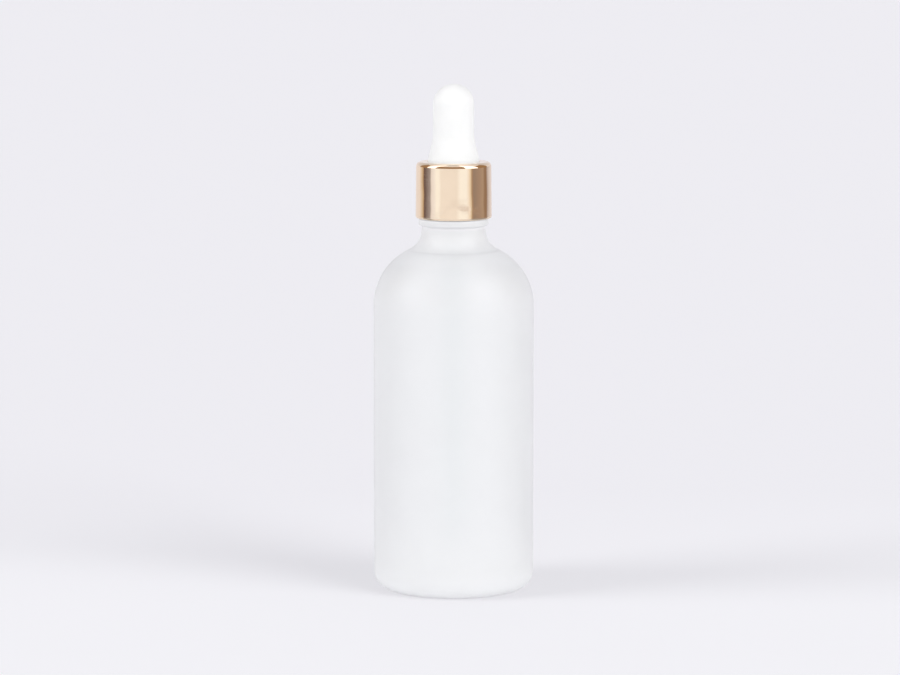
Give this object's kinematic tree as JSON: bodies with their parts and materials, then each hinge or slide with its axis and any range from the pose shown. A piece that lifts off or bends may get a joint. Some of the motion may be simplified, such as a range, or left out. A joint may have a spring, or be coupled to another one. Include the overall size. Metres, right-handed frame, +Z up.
{
  "type": "dropper bottle",
  "caption": "Round-shouldered frosted glass bottle with a screw-on metal-covered collar, a squeezable rubber teat and a long glass pipette reaching down inside.",
  "frame": {"origin": "centre of the ring that the bottle stands on", "axes": "+Z up along the bottle's axis, towards the teat; -Y is the front"},
  "size_m": [0.0446, 0.0446, 0.1413],
  "materials": {
    "frosted_glass": "acid-frosted, translucent",
    "clear_glass": "clear, fire-polished",
    "white_rubber": "satin",
    "seal_plastic": "soft matte",
    "cap_plastic": "moulded",
    "gold_aluminium": "bright anodised champagne gold"
  },
  "bodies": {
    "bottle": {"bottle": "frosted_glass"},
    "washer": {"washer": "seal_plastic"},
    "dropper": {"pipette": "clear_glass", "teat": "white_rubber"},
    "front_wall": {"teat_front_wall": "white_rubber"},
    "back_wall": {"teat_back_wall": "white_rubber"},
    "cap": {"screw_cap": "cap_plastic", "collar_shell": "gold_aluminium"}
  },
  "joints": [
    {"name": "lift_off", "type": "slide", "parent": "bottle", "child": "washer", "axis": [0, 0, 1], "range_m": [0, 0.11]},
    {"name": "cap_rise", "type": "slide", "parent": "washer", "child": "dropper", "axis": [0, 0, 1], "range_m": [0, 0.0045]},
    {"name": "cap_turn", "type": "hinge", "parent": "dropper", "child": "cap", "pos_m": [0, 0, 0.1117], "axis": [0, 0, 1], "range_deg": [0, 541]},
    {"name": "squeeze_front", "type": "slide", "parent": "dropper", "child": "front_wall", "axis": [0, 1, 0], "range_m": [0, 0.0022], "stiffness_N_per_m": 900},
    {"name": "squeeze_back", "type": "slide", "parent": "dropper", "child": "back_wall", "axis": [0, -1, 0], "range_m": [0, 0.0022], "stiffness_N_per_m": 900}
  ],
  "couplings": [
    {"joint": "cap_turn", "follows": "cap_rise", "rad_per_m": 2094.4},
    {"joint": "squeeze_back", "follows": "squeeze_front", "ratio": 1}
  ]
}
